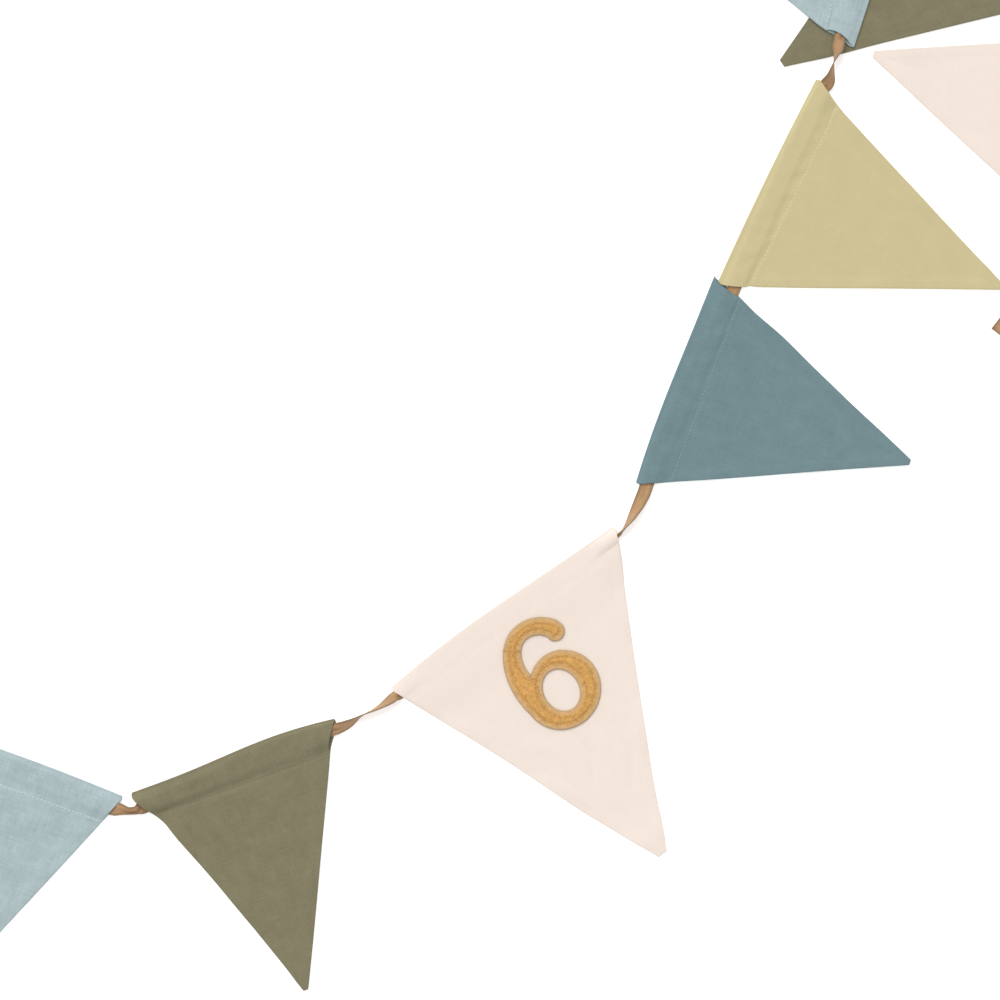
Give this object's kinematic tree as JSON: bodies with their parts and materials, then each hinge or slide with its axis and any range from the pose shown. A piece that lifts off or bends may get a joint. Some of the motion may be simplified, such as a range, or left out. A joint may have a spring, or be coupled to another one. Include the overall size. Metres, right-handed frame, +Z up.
{
  "type": "fabric bunting",
  "caption": "Fabric bunting of triangular pennants threaded on one flat woven tape, with a padded numeral on the large pennant, laid out flat.",
  "frame": {"origin": "middle of the bounding box, on the surface that the bunting lies on", "axes": "+Z up from the surface, +X to the right in the picture and +Y towards its top"},
  "size_m": [0.9778, 0.857, 0.0126],
  "materials": {
    "light_blue": "plain-woven linen, matt",
    "olive": "plain-woven linen, matt",
    "pale_pink": "plain-woven cotton, matt",
    "teal": "plain-woven linen, matt",
    "yellow": "plain-woven linen, matt",
    "tape": "woven herringbone tape, matt",
    "mustard": "padded and quilted cotton, soft sheen"
  },
  "bodies": {
    "root": {"pennant_blue_1": "light_blue", "pennant_olive_1": "olive", "pennant_pink_1": "pale_pink", "pennant_teal_1": "teal", "pennant_yellow_1": "yellow", "pennant_blue_2": "light_blue", "pennant_olive_2": "olive", "pennant_pink_2": "pale_pink", "tape": "tape", "numeral": "mustard"}
  },
  "joints": []
}
